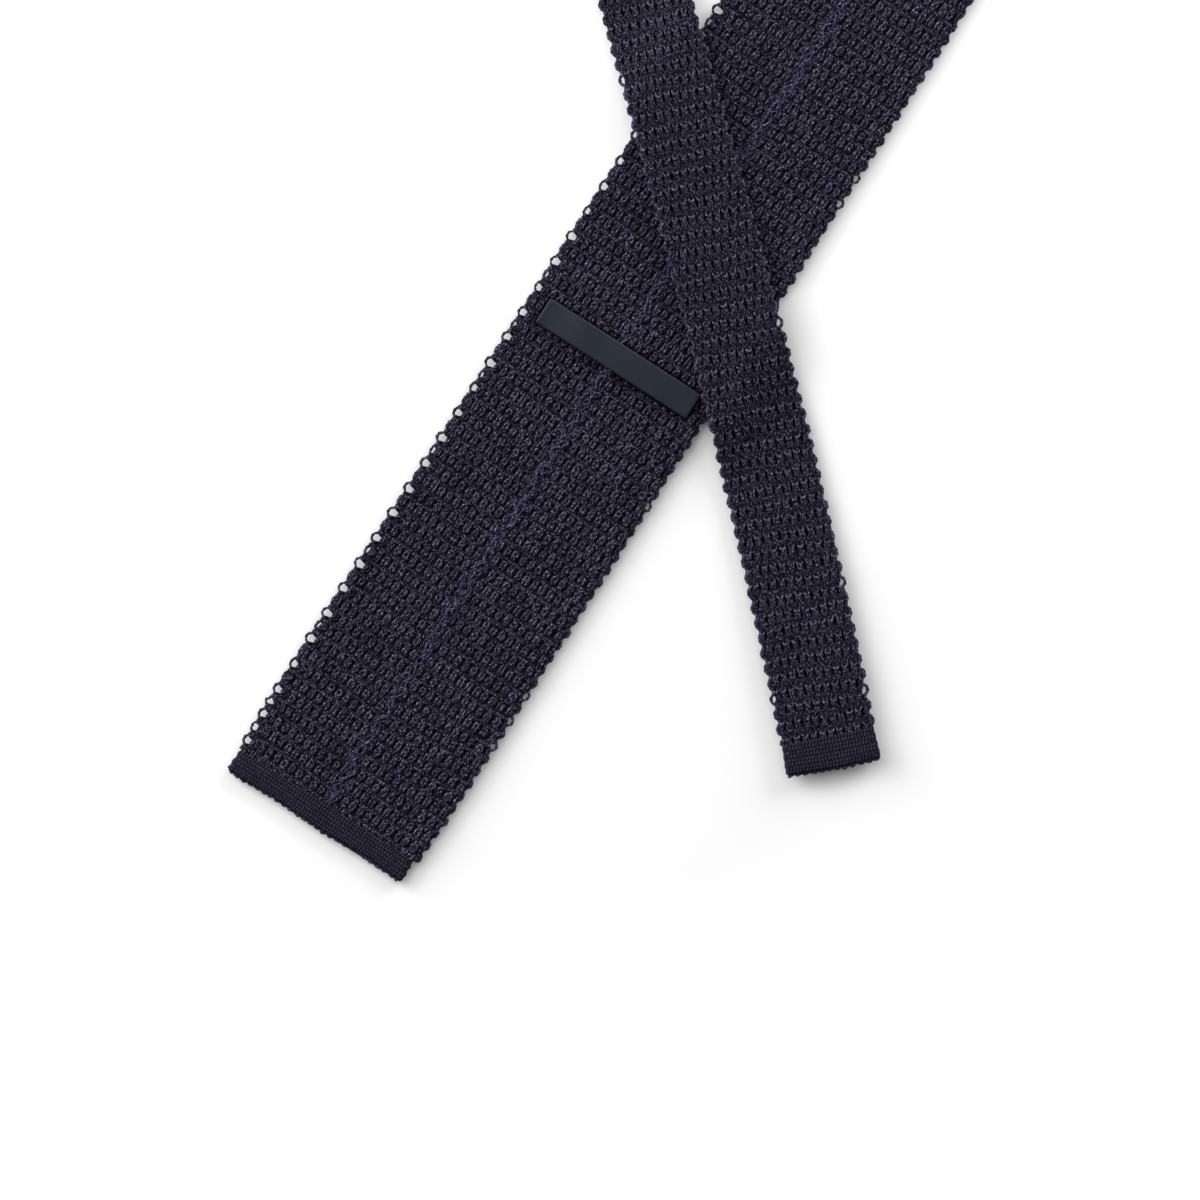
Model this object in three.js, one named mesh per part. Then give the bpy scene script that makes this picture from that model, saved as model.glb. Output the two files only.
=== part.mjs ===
// A knitted silk necktie lying loose on a flat surface, back side up, its narrow end laid across the wide one.
//
// Millimetres, +Z up. Seen from above, +Y runs up the loop and +X to the right. The origin is the middle of the
// tie's outline on the surface that it lies on.
//
// Every piece is first drawn in the tie's own measures: "along" runs from the wide end to the narrow end on the
// centre line, "across" runs to the right of that way, and "high" rises from the front of the cloth to its back.
// place() then lays such a point down on the surface, over the turn at the top of the loop and over the wide end.
import * as THREE from "three";

// Lengths and widths
const tieLength = 1480;
const bladeWidth = 60;
const neckWidth = 24;
const tailWidth = 26.8;
const bladeHemDepth = 6.5;
const tailHemDepth = 8.7;

// Thicknesses
const knitWall = 1.3;
const gapBetweenLayers = 0.4;
const ribbonWall = 1;
const clearance = 0.3;

// The seam down the back, and the loop of ribbon that holds the narrow end
const seamWidth = 2.8;
const keeperInset = 5;
const keeperWidth = 7.9;
const keeperRise = 0.8;
const keeperOffset = 0.8;
const keeperToTail = 0.7;

// How the tie lies: the two ends cross, part, and meet again where the tie turns over
const bladeToCrossing = 202;
const tailToCrossing = 158;
const straightPastCrossing = 80;
const crossingAngle = 48.1;
const bladeHeading = 32.8;
const tailBend = 3;
const turnRadius = 2;
const turnSettles = 45;
const drapeLength = 18;
const drapeMargin = 1.5;

// The spacing of the sections, for straight, curved, draped and turned stretches
const straightStep = 62;
const curvedStep = 28;
const drapedStep = 5.5;
const turnedStep = 2.2;

const thickness = 2 * knitWall + gapBetweenLayers;
const slotWidth = seamWidth + 2 * clearance;
const middleRadius = turnRadius + thickness / 2;
const turnCentre = thickness + turnRadius;
const radians = THREE.MathUtils.degToRad;
const spread = radians(crossingAngle / 2);
const loopHeading = radians(bladeHeading) - spread;

// The tie's width: at is a share of its length, and width a share of the named width
const widths = [
  { at: 0, share: 0.97, of: bladeWidth },
  { at: 0.02, share: 1, of: bladeWidth },
  { at: 0.3, share: 1, of: bladeWidth },
  { at: 0.46, share: 1, of: neckWidth },
  { at: 0.78, share: 1, of: neckWidth },
  { at: 0.86, share: 0.95, of: tailWidth },
  { at: 0.97, share: 1, of: tailWidth },
  { at: 1, share: 0.99, of: tailWidth },
];

// A hem from its mouth to its cast-off edge: depth is a share of its depth, and the rest are shares of the tie there
const hemSections = [
  { depth: 0, wide: 0.985, thick: 1 },
  { depth: 0.6, wide: 0.965, thick: 1 },
  { depth: 0.9, wide: 0.95, thick: 0.92 },
  { depth: 1, wide: 0.925, thick: 0.62 },
];

// The ribbon loop from end to end: across is a share of its half length, and rise a share of its rise
const keeperSections = [
  { across: -1, rise: 0 },
  { across: -0.86, rise: 0 },
  { across: -0.66, rise: 0.8 },
  { across: -0.3, rise: 1 },
  { across: 0.3, rise: 1 },
  { across: 0.66, rise: 0.8 },
  { across: 0.86, rise: 0 },
  { across: 1, rise: 0 },
];

function smooth(x) {
  const share = Math.min(Math.max(x, 0), 1);
  return share * share * (3 - 2 * share);
}

function widthAt(along) {
  const at = Math.min(Math.max(along / tieLength, 0), 1);
  const next = widths.findIndex((row, i) => i > 0 && at <= row.at);
  const before = widths[next - 1];
  const after = widths[next];
  const share = smooth((at - before.at) / (after.at - before.at));
  return THREE.MathUtils.lerp(before.share * before.of, after.share * after.of, share);
}

// The angle at which the cloth comes to the turn, so that both sides of the loop close on each other.
// A steeper angle brings the two sides further in, so it is found by halving its range.
function angleAtTurn() {
  let low = spread;
  let high = Math.PI / 2;
  for (let i = 0; i < 50; i += 1) {
    const angle = (low + high) / 2;
    const arc = arcLength(angle);
    const inwards = (arc * (Math.cos(spread) - Math.cos(angle))) / (spread + angle);
    const needed = straightPastCrossing * Math.sin(spread) - (turnLength(angle) * Math.sin(angle)) / 2;
    if (inwards < needed) low = angle;
    else high = angle;
  }
  return (low + high) / 2;
}

function turnLength(angle) {
  return (Math.PI * middleRadius) / Math.cos(angle);
}

function arcLength(angle) {
  const straight = bladeToCrossing + tailToCrossing + 2 * straightPastCrossing;
  return (tieLength - straight - turnLength(angle)) / 2;
}

const turnAngle = angleAtTurn();
const arc = arcLength(turnAngle);

// Where each stretch of the centre line starts, measured along it
const rightArcStart = bladeToCrossing + straightPastCrossing;
const turnStart = rightArcStart + arc;
const turnEnd = turnStart + turnLength(turnAngle);
const leftArcEnd = turnEnd + arc;
const secondCrossing = leftArcEnd + straightPastCrossing;

// The stretches of the centre line with the tie unrolled flat: each runs for its length and turns by its angle
const stretches = [
  { length: rightArcStart, turn: 0 },
  { length: arc, turn: -(spread + turnAngle) },
  { length: turnEnd - turnStart, turn: 0 },
  { length: arc, turn: spread + turnAngle },
  { length: straightPastCrossing, turn: 0 },
  { length: tailToCrossing, turn: -radians(tailBend) },
];

// A point of the unrolled centre line, up the loop and to its right, and the way it runs there
function centreLine(along) {
  let up = -bladeToCrossing * Math.cos(spread);
  let right = -bladeToCrossing * Math.sin(spread);
  let heading = spread;
  let left = along;
  for (const stretch of stretches) {
    const isLast = stretch === stretches[stretches.length - 1];
    const run = isLast ? left : Math.min(left, stretch.length);
    const turned = (stretch.turn * run) / stretch.length;
    if (stretch.turn === 0) {
      up += run * Math.cos(heading);
      right += run * Math.sin(heading);
    } else {
      const radius = stretch.length / stretch.turn;
      up += radius * (Math.sin(heading + turned) - Math.sin(heading));
      right -= radius * (Math.cos(heading + turned) - Math.cos(heading));
    }
    heading += turned;
    left -= run;
    if (left <= 0) break;
  }
  return { up, right, heading };
}

const turnLine = centreLine((turnStart + turnEnd) / 2).up - (Math.PI * middleRadius) / 2;

// How high the underside of the upper run lies: on the turn, on the wide end that it crosses, or on the surface
function undersideHeight(up, right) {
  const fromTurn = turnLine - up;
  const settling = (thickness + 2 * turnRadius) * (1 - smooth(fromTurn / turnSettles));
  const fromBlade = Math.abs(right * Math.cos(spread) - up * Math.sin(spread)) - bladeWidth / 2;
  const draped = (thickness + clearance) * smooth(1 - (fromBlade - drapeMargin) / drapeLength);
  return Math.max(settling, draped);
}

// Lays a point of the tie down: along, across and high, to its place above the surface
function place(along, across, high) {
  const centre = centreLine(along);
  let up = centre.up - across * Math.sin(centre.heading);
  const right = centre.right + across * Math.cos(centre.heading);
  let level = high;
  const over = (up - turnLine) / middleRadius;
  if (over > Math.PI) {
    up = turnLine - (over - Math.PI) * middleRadius;
    level = undersideHeight(up, right) + thickness - high;
  } else if (over > 0) {
    up = turnLine + (turnCentre - high) * Math.sin(over);
    level = turnCentre - (turnCentre - high) * Math.cos(over);
  }
  const x = right * Math.cos(loopHeading) + up * Math.sin(loopHeading);
  const y = up * Math.cos(loopHeading) - right * Math.sin(loopHeading);
  return new THREE.Vector3(x, y, level);
}

// A closed body through sections that are closed outlines with the same number of points.
// Point i of an outline faces point n - 1 - i across the wall, so both ends are closed by strips between them.
function loft(sections) {
  const count = sections[0].length;
  const index = [];
  for (let k = 0; k + 1 < sections.length; k += 1) {
    for (let i = 0; i < count; i += 1) {
      const j = (i + 1) % count;
      const here = k * count;
      const there = here + count;
      index.push(here + i, there + j, here + j, here + i, there + i, there + j);
    }
  }
  const end = (sections.length - 1) * count;
  for (let i = 0; i + 1 < count / 2; i += 1) {
    const near = count - 1 - i;
    const far = count - 2 - i;
    index.push(i, i + 1, far, i, far, near);
    index.push(end + i, end + far, end + i + 1, end + i, end + near, end + far);
  }
  const geometry = new THREE.BufferGeometry();
  const points = sections.flat().flatMap((point) => point.toArray());
  geometry.setAttribute("position", new THREE.Float32BufferAttribute(points, 3));
  geometry.setIndex(index);
  geometry.computeVertexNormals();
  return geometry;
}

// The wall of the knitted tube, cut across: the front of the cloth, both folded edges and the two flaps that meet
// at the seam. Pairs of points stand on the outside and the inside of the wall.
function tubeSection(along) {
  const half = widthAt(along) / 2;
  const edge = half - thickness / 2;
  const middle = thickness / 2;
  const fold = [135, 180, 225].map(radians);
  const outside = [];
  const inside = [];
  const flat = (across, out) => {
    outside.push([across, out ? thickness : 0]);
    inside.push([across, out ? thickness - knitWall : knitWall]);
  };
  const round = (side, angle) => {
    for (const [wall, radius] of [[outside, middle], [inside, gapBetweenLayers / 2]]) {
      wall.push([side * (edge - radius * Math.cos(angle)), middle + radius * Math.sin(angle)]);
    }
  };
  [-slotWidth / 2, -edge / 2, -edge].forEach((across) => flat(across, true));
  fold.forEach((angle) => round(-1, angle));
  [-edge, -edge / 2, -slotWidth / 2, slotWidth / 2, edge / 2, edge].forEach((across) => flat(across, false));
  fold.reverse().forEach((angle) => round(1, angle));
  [edge, edge / 2, slotWidth / 2].forEach((across) => flat(across, true));
  return [...outside, ...inside.reverse()].map(([across, high]) => place(along, across, high));
}

function rectangleSection(along, half, low, high) {
  const corners = [[-half, low], [half, low], [half, high], [-half, high]];
  return corners.map(([across, level]) => place(along, across, level));
}

// The places of the sections from one end of a piece to the other, closer where the cloth drapes or turns over
function sectionPlaces(from, to) {
  const bladeHalf = bladeWidth / 2 / Math.sin(2 * spread);
  const tailHalf = tailWidth / 2 / Math.tan(2 * spread);
  const inner = bladeHalf - tailHalf;
  const outer = bladeHalf + tailHalf + (drapeMargin + drapeLength) / Math.sin(2 * spread);
  const skew = (neckWidth / 2) * Math.tan(turnAngle) + turnedStep;
  const spacing = [
    { to: rightArcStart, step: straightStep },
    { to: turnStart - skew, step: curvedStep },
    { to: turnEnd + skew, step: turnedStep },
    { to: turnEnd + skew + turnSettles, step: drapedStep },
    { to: leftArcEnd, step: curvedStep },
    { to: secondCrossing - outer, step: straightStep },
    { to: secondCrossing - inner, step: drapedStep },
    { to: secondCrossing + inner, step: curvedStep },
    { to: secondCrossing + outer, step: drapedStep },
    { to: tieLength, step: curvedStep },
  ];
  const places = [from];
  let start = 0;
  for (const row of spacing) {
    const stretch = Math.max(row.to - start, 0);
    const steps = Math.ceil(stretch / row.step);
    for (let i = 1; i <= steps; i += 1) {
      const at = start + (stretch * i) / steps;
      if (at > from + clearance && at < to - clearance) places.push(at);
    }
    start += stretch;
  }
  return [...places, to];
}

function knittedTube(from, to) {
  return loft(sectionPlaces(from, to).map(tubeSection));
}

function backSeam(from, to) {
  const low = knitWall + clearance;
  return loft(sectionPlaces(from, to).map((along) => rectangleSection(along, seamWidth / 2, low, thickness)));
}

// A flattened pocket at the end of the tie: the knit is closed along the cast-off edge and open to the tube
function hem(mouth, depth, wall) {
  const way = Math.sign(mouth - tieLength / 2);
  const wide = widthAt(mouth) / 2;
  const outline = (along, half, thick) => {
    const edge = half - thick / 2;
    const points = [[-edge, 0]];
    for (let angle = -90; angle <= 90; angle += 45) {
      const turned = radians(angle);
      points.push([edge + (thick / 2) * Math.cos(turned), (thick / 2) * (1 + Math.sin(turned))]);
    }
    for (let angle = 90; angle < 270; angle += 45) {
      const turned = radians(angle);
      points.push([-edge + (thick / 2) * Math.cos(turned), (thick / 2) * (1 + Math.sin(turned))]);
    }
    return points.map(([across, high]) => place(along, across, high + (thickness - thick) / 2));
  };
  const slit = (along) => outline(along, wide - wall, gapBetweenLayers);
  const rings = [slit(mouth + way * (depth - wall)), slit(mouth)];
  for (const row of hemSections) {
    const along = mouth + way * depth * row.depth;
    rings.push(outline(along, wide * row.wide, thickness * row.thick));
  }
  return loft(way > 0 ? rings : rings.reverse());
}

// A strip of ribbon across the back of the wide end, down on the knit at its ends and raised between them.
// It sits as far up the wide end as it can while its right corner clears the edge of the narrow end.
function keeperLoop() {
  const half = bladeWidth / 2 - keeperInset;
  const seat = thickness + clearance;
  const corner = (keeperOffset + half) * Math.cos(2 * spread) + tailWidth / 2 + keeperToTail;
  const to = bladeToCrossing - corner / Math.sin(2 * spread);
  const from = to - keeperWidth;
  const sections = keeperSections.map((row) => {
    const across = keeperOffset + row.across * half;
    const low = seat + row.rise * keeperRise;
    const high = low + ribbonWall;
    const corners = [[from, low], [from, high], [to, high], [to, low]];
    return corners.map(([along, level]) => place(along, across, level));
  });
  return loft(sections);
}

const knitYarn = new THREE.MeshStandardMaterial({ color: 0x272531, roughness: 0.62, metalness: 0 });
const hemYarn = new THREE.MeshStandardMaterial({ color: 0x22202c, roughness: 0.66, metalness: 0 });
const seamYarn = new THREE.MeshStandardMaterial({ color: 0x2e2b3c, roughness: 0.6, metalness: 0 });
const ribbon = new THREE.MeshStandardMaterial({ color: 0x2b313e, roughness: 0.48, metalness: 0 });

const tubeStart = bladeHemDepth + clearance;
const bladeEnd = 0.3 * tieLength;
const neckEnd = leftArcEnd;
const tubeEnd = tieLength - tailHemDepth - clearance;

const pieces = [
  { name: "blade", geometry: knittedTube(tubeStart, bladeEnd), material: knitYarn },
  { name: "neck_band", geometry: knittedTube(bladeEnd + clearance, neckEnd), material: knitYarn },
  { name: "tail", geometry: knittedTube(neckEnd + clearance, tubeEnd), material: knitYarn },
  { name: "back_seam", geometry: backSeam(tubeStart, tubeEnd), material: seamYarn },
  { name: "blade_hem", geometry: hem(bladeHemDepth, bladeHemDepth, knitWall), material: hemYarn },
  { name: "tail_hem", geometry: hem(tieLength - tailHemDepth, tailHemDepth, knitWall), material: hemYarn },
  { name: "keeper_loop", geometry: keeperLoop(), material: ribbon },
];

const tie = new THREE.Group();
for (const piece of pieces) {
  const mesh = new THREE.Mesh(piece.geometry, piece.material);
  mesh.name = piece.name;
  tie.add(mesh);
}

// The origin goes to the middle of the outline, on the surface
const box = new THREE.Box3().setFromObject(tie);
const centre = box.getCenter(new THREE.Vector3());
tie.position.set(-centre.x, -centre.y, -box.min.z);

export default tie;
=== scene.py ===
# A square-ended silk knit tie lying loose on a pale surface, back side up, its narrow end laid across the
# wide one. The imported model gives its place, and its measures are the same as in the CAD. This script knits
# it: rows of stitches, scalloped edges with their loops of yarn, the linked seam, the two dense hems and the
# satin ribbon for the narrow end.
import math

import bpy
import numpy as np
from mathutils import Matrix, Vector


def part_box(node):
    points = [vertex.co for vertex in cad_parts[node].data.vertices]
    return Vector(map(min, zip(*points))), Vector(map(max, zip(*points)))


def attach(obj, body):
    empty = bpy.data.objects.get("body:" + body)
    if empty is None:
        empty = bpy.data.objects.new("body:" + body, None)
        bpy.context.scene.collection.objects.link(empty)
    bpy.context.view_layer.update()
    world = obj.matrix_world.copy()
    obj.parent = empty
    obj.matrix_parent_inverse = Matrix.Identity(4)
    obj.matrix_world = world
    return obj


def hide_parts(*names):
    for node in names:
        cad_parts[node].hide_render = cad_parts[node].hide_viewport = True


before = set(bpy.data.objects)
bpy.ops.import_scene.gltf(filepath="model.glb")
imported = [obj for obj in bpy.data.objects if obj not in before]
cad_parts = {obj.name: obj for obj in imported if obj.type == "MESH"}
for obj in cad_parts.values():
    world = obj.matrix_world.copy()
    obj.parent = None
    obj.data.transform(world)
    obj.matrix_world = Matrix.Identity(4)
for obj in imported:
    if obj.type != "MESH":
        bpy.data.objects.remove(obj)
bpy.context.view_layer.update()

# The tie's own measures in millimetres, the same as in the CAD. "along" runs from the wide end to the narrow
# end on the centre line, "across" to the right of that way, and "high" from the front of the cloth to its
# back.
MM = 0.001
TIE_LENGTH = 1480
BLADE_WIDTH = 60
NECK_WIDTH = 24
TAIL_WIDTH = 26.8
BLADE_HEM_DEPTH = 6.5
TAIL_HEM_DEPTH = 8.7
THICKNESS = 3
CLEARANCE = 0.3

# The way it lies: straight stretches, two arcs, the turn at the top of the loop, and the drape over the wide
# end
BLADE_TO_CROSSING = 202
TAIL_TO_CROSSING = 158
STRAIGHT_PAST_CROSSING = 80
SPREAD = math.radians(48.1 / 2)
LOOP_HEADING = math.radians(32.8) - SPREAD
TURN_RADIUS = 2
TURN_SETTLES = 45
DRAPE_LENGTH = 18
DRAPE_MARGIN = 1.5
MIDDLE_RADIUS = TURN_RADIUS + THICKNESS / 2
TURN_CENTRE = THICKNESS + TURN_RADIUS

# The ribbon: across the back of the wide end, down on the knit at its ends and raised between them
KEEPER_WIDTH = 7.9
KEEPER_INSET = 5
KEEPER_RISE = 0.8
KEEPER_OFFSET = 0.8
KEEPER_TO_TAIL = 0.7

# The tie's width: the share of its length, and the width there
WIDTHS = [
    (0, 0.97 * BLADE_WIDTH),
    (0.02, BLADE_WIDTH),
    (0.3, BLADE_WIDTH),
    (0.46, NECK_WIDTH),
    (0.78, NECK_WIDTH),
    (0.86, 0.95 * TAIL_WIDTH),
    (0.97, TAIL_WIDTH),
    (1, 0.99 * TAIL_WIDTH),
]

# Measures that this script has for itself, from the photograph: the slot between the two flaps is narrower
# than in the CAD and the ribbon thinner, the narrow end is bent 1.2 degrees further, and its last stretch
# curls up a little
SLOT_HALF = 0.6
RIBBON_WALL = 0.62
TAIL_BEND = math.radians(4.2)
CURL_LENGTH = 100
CURL = 1.7

# The section's edge is a half circle: its radius, and how much longer the way round to mid height is than
# across
FOLD_RADIUS = THICKNESS / 2
FOLD_EXTRA = FOLD_RADIUS * (np.pi / 2 - 1)

# Places along the tie: the last that the photograph shows of the wide end, the end of its full width, the
# last hole in its edge, the neck's first and last, where the narrow end's piece starts, and the knit between
# the hems
SEEN_END = 291
BLADE_END = 444
HOLES_END = 520
NARROWED = 681
WIDENS = 1154
NECK_END = 1242
TUBE_START = BLADE_HEM_DEPTH + CLEARANCE
TUBE_END = TIE_LENGTH - TAIL_HEM_DEPTH - CLEARANCE

# Rows of stitches, counted from the wide end: the place along the tie, and the rows up to there; and how high
# a row is on the wide end
ROWS = [(0, 0), (BLADE_END, 106), (NECK_END, 292), (TIE_LENGTH, 346.5)]
ROW_PITCH = 4.19
# Stitch blocks from the middle of the tie to its edge: the place along the tie, and how many
BLOCKS = [(0, 12), (BLADE_END, 12), (NARROWED, 5.25), (WIDENS, 5.25), (NECK_END, 5.75), (TIE_LENGTH, 5.75)]

# The photograph's frame: its pixels, their size, and the place in the model of its middle
PIXEL = 0.28
FRAME_PIXELS = 1200
VIEW_CENTRE = (-35.65, -278.46)
CAMERA_HEIGHT = 3.0


def smooth(x):
    """Zero up to 0, one from 1, and an even S curve between them."""
    share = np.clip(x, 0, 1)
    return share * share * (3 - 2 * share)


def stepped(table, at):
    """The table's value, eased from each of its places to the next."""
    places, values = (np.array(column, float) for column in zip(*table))
    at = np.clip(at, places[0], places[-1])
    after = np.clip(np.searchsorted(places, at), 1, len(places) - 1)
    share = smooth((at - places[after - 1]) / (places[after] - places[after - 1]))
    return values[after - 1] + (values[after] - values[after - 1]) * share


def half_width(along):
    """Half the tie's width there, from the table of widths."""
    return stepped(WIDTHS, np.asarray(along, float) / TIE_LENGTH) / 2


def row_at(along):
    """The number of rows from the wide end, even between the table's places."""
    return np.interp(along, *zip(*ROWS))


def along_at(row):
    """The place along the tie of a row, which runs on evenly before the first one."""
    places, counts = zip(*ROWS)
    return np.interp(row, counts, places) + np.minimum(row, 0) * places[1] / counts[1]


def turn_length(angle):
    """The length of cloth in the turn: half a circle, crossed at that angle."""
    return math.pi * MIDDLE_RADIUS / math.cos(angle)


def arc_length(angle):
    """The length of each of the loop's two arcs: half of what the straight stretches and the turn leave."""
    straight = BLADE_TO_CROSSING + TAIL_TO_CROSSING + 2 * STRAIGHT_PAST_CROSSING
    return (TIE_LENGTH - straight - turn_length(angle)) / 2


def angle_at_turn():
    """The angle at which the cloth comes to the turn so that the loop closes, found by halving its range."""
    low, high = SPREAD, math.pi / 2
    for _ in range(50):
        angle = (low + high) / 2
        inwards = arc_length(angle) * (math.cos(SPREAD) - math.cos(angle)) / (SPREAD + angle)
        needed = STRAIGHT_PAST_CROSSING * math.sin(SPREAD) - turn_length(angle) * math.sin(angle) / 2
        low, high = (angle, high) if inwards < needed else (low, angle)
    return (low + high) / 2


TURN_ANGLE = angle_at_turn()
ARC = arc_length(TURN_ANGLE)
RIGHT_ARC_START = BLADE_TO_CROSSING + STRAIGHT_PAST_CROSSING
TURN_START = RIGHT_ARC_START + ARC
TURN_END = TURN_START + turn_length(TURN_ANGLE)
STRETCHES = [
    (RIGHT_ARC_START, 0),
    (ARC, -(SPREAD + TURN_ANGLE)),
    (TURN_END - TURN_START, 0),
    (ARC, SPREAD + TURN_ANGLE),
    (STRAIGHT_PAST_CROSSING, 0),
    (TAIL_TO_CROSSING, -TAIL_BEND),
]


def centre_line(along):
    """The unrolled centre line: straight stretches and arcs of circles, each starting where the one before
    ends. Gives how far up the loop and how far right each point is, and which way the tie runs there."""
    left = np.asarray(along, float)
    up = np.full(left.shape, -BLADE_TO_CROSSING * math.cos(SPREAD))
    right = np.full(left.shape, -BLADE_TO_CROSSING * math.sin(SPREAD))
    heading = SPREAD
    for number, (length, turn) in enumerate(STRETCHES):
        run = left if number == 0 else np.maximum(left, 0)
        if number < len(STRETCHES) - 1:
            run = np.minimum(run, length)
        if turn == 0:
            up = up + run * math.cos(heading)
            right = right + run * math.sin(heading)
            way = np.full(run.shape, heading)
        else:
            radius = length / turn
            way = heading + run / radius
            up = up + radius * (np.sin(way) - math.sin(heading))
            right = right - radius * (np.cos(way) - math.cos(heading))
        headings = way if number == 0 else np.where(left > 0, way, headings)
        heading += turn
        left = left - length
    return up, right, headings


TURN_LINE = float(centre_line((TURN_START + TURN_END) / 2)[0]) - math.pi * MIDDLE_RADIUS / 2


def underside_height(up, right):
    """How high the upper run's underside lies: on the turn, on the wide end below it, or on the surface."""
    settling = (THICKNESS + 2 * TURN_RADIUS) * (1 - smooth((TURN_LINE - up) / TURN_SETTLES))
    from_blade = np.abs(right * math.cos(SPREAD) - up * math.sin(SPREAD)) - BLADE_WIDTH / 2
    draped = (THICKNESS + CLEARANCE) * smooth(1 - (from_blade - DRAPE_MARGIN) / DRAPE_LENGTH)
    return np.maximum(settling, draped)


def laid(along, across, high):
    """The tie's own measures laid down on the surface, over the turn and over the wide end, in
    millimetres."""
    along, across, high = np.broadcast_arrays(*(np.asarray(v, float) for v in (along, across, high)))
    up, right, heading = centre_line(along)
    up = up - across * np.sin(heading)
    right = right + across * np.cos(heading)
    over = (up - TURN_LINE) / MIDDLE_RADIUS
    past_up = TURN_LINE - (over - math.pi) * MIDDLE_RADIUS
    curl = CURL * smooth((along - TIE_LENGTH + CURL_LENGTH) / CURL_LENGTH)
    past_level = underside_height(past_up, right) + THICKNESS - high + curl
    turn_up = TURN_LINE + (TURN_CENTRE - high) * np.sin(over)
    turn_level = TURN_CENTRE - (TURN_CENTRE - high) * np.cos(over)
    level = np.where(over > math.pi, past_level, np.where(over > 0, turn_level, high))
    up = np.where(over > math.pi, past_up, np.where(over > 0, turn_up, up))
    x = right * math.cos(LOOP_HEADING) + up * math.sin(LOOP_HEADING)
    y = up * math.cos(LOOP_HEADING) - right * math.sin(LOOP_HEADING)
    return np.stack([x, y, level], axis=-1)


def keeper_span():
    """Where the ribbon starts and ends along the tie: as far up as its right corner clears the narrow end."""
    half = BLADE_WIDTH / 2 - KEEPER_INSET
    corner = (KEEPER_OFFSET + half) * math.cos(2 * SPREAD) + TAIL_WIDTH / 2 + KEEPER_TO_TAIL
    to = BLADE_TO_CROSSING - corner / math.sin(2 * SPREAD)
    return to - KEEPER_WIDTH, to, half


def row_origin():
    """The shift from the crossing to the row's origin, read off the ribbon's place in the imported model."""
    start, to, half = keeper_span()
    ends = laid(np.array([[start], [to]]), KEEPER_OFFSET + np.array([[-half, half]]), THICKNESS)
    low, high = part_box("keeper_loop")
    middle = (ends.reshape(-1, 3).min(0) + ends.reshape(-1, 3).max(0)) / 2
    return np.array([(low.x + high.x) / 2 / MM - middle[0], (low.y + high.y) / 2 / MM - middle[1], 0])


ORIGIN = row_origin()


def placed(along, across, high):
    """A point of the tie in the row frame, in metres."""
    return (laid(along, across, high) + ORIGIN) * MM


# The rows at which the layers of knit start and end
FIRST_ROW = float(row_at(TUBE_START))
SEEN_ROW = float(row_at(SEEN_END))
BLADE_TOP_ROW = float(row_at(BLADE_END))
NARROW_ROW = float(row_at(NARROWED))
TURN_ROW = float(row_at((TURN_START + TURN_END) / 2))
NECK_TOP_ROW = float(row_at(NECK_END))
LAST_ROW = float(row_at(TUBE_END))


# Materials


def add_node(tree, kind, **settings):
    """A shader node with its named settings and input values."""
    node = tree.nodes.new(kind)
    for key, value in settings.items():
        if key in node.inputs:
            node.inputs[key].default_value = value
        else:
            setattr(node, key, value)
    return node


def feed(tree, value, socket):
    """Gives a socket its value, which is a number, a colour or another socket."""
    if isinstance(value, (int, float, tuple)):
        socket.default_value = value
    else:
        tree.links.new(value, socket)


def reckon(tree, operation, first, second=None, clamp=False):
    """A Math node with one or two operands."""
    node = tree.nodes.new("ShaderNodeMath")
    node.operation = operation
    node.use_clamp = clamp
    for socket, value in zip(node.inputs, (first, second)):
        if value is not None:
            feed(tree, value, socket)
    return node.outputs[0]


def times(tree, first, second, clamp=False):
    """The product of two values, kept within 0 and 1 if clamped."""
    return reckon(tree, "MULTIPLY", first, second, clamp)


def plus(tree, first, second, clamp=False):
    """The sum of two values, kept within 0 and 1 if clamped."""
    return reckon(tree, "ADD", first, second, clamp)


def minus(tree, first, second):
    """The first value less the second."""
    return reckon(tree, "SUBTRACT", first, second)


def strand_wave(tree, turn):
    """The height of strands laid side by side, one to each whole turn: the absolute sine of half the
    angle."""
    return reckon(tree, "ABSOLUTE", reckon(tree, "SINE", times(tree, turn, math.pi)))


def blend_colours(tree, share, first, second):
    """A Mix node between two colours, given as values or sockets."""
    node = tree.nodes.new("ShaderNodeMix")
    node.data_type = "RGBA"
    for name, kind, value in (("Factor", "VALUE", share), ("A", "RGBA", first), ("B", "RGBA", second)):
        feed(tree, value, next(s for s in node.inputs if s.name == name and s.type == kind))
    return next(s for s in node.outputs if s.type == "RGBA")


def noise_on(tree, vector, scale, detail):
    """Noise on a vector, so many grains to its unit."""
    node = add_node(tree, "ShaderNodeTexNoise", Scale=scale, Detail=detail)
    tree.links.new(vector, node.inputs["Vector"])
    return node.outputs["Fac"]


def dashes(tree, across, down, wide, long, detail):
    """Noise on the stitch coordinates, stretched along the yarn: so many dashes to a stitch across and
    down."""
    joined = tree.nodes.new("ShaderNodeCombineXYZ")
    tree.links.new(times(tree, across, wide), joined.inputs[0])
    tree.links.new(times(tree, down, long), joined.inputs[1])
    return noise_on(tree, joined.outputs[0], 1.0, detail)


def stitch_axes(tree):
    """The two coordinates of the piece's own UV map."""
    uv = add_node(tree, "ShaderNodeUVMap", uv_map="strands")
    axes = tree.nodes.new("ShaderNodeSeparateXYZ")
    tree.links.new(uv.outputs[0], axes.inputs[0])
    return axes.outputs[0], axes.outputs[1]


def light_of(level):
    """The linear value of one channel of a screen colour: straight up to 10 of 255, and a power of 2.4 above
    it."""
    return ((level / 255 + 0.055) / 1.055) ** 2.4 if level > 10 else level / 255 / 12.92


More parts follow.
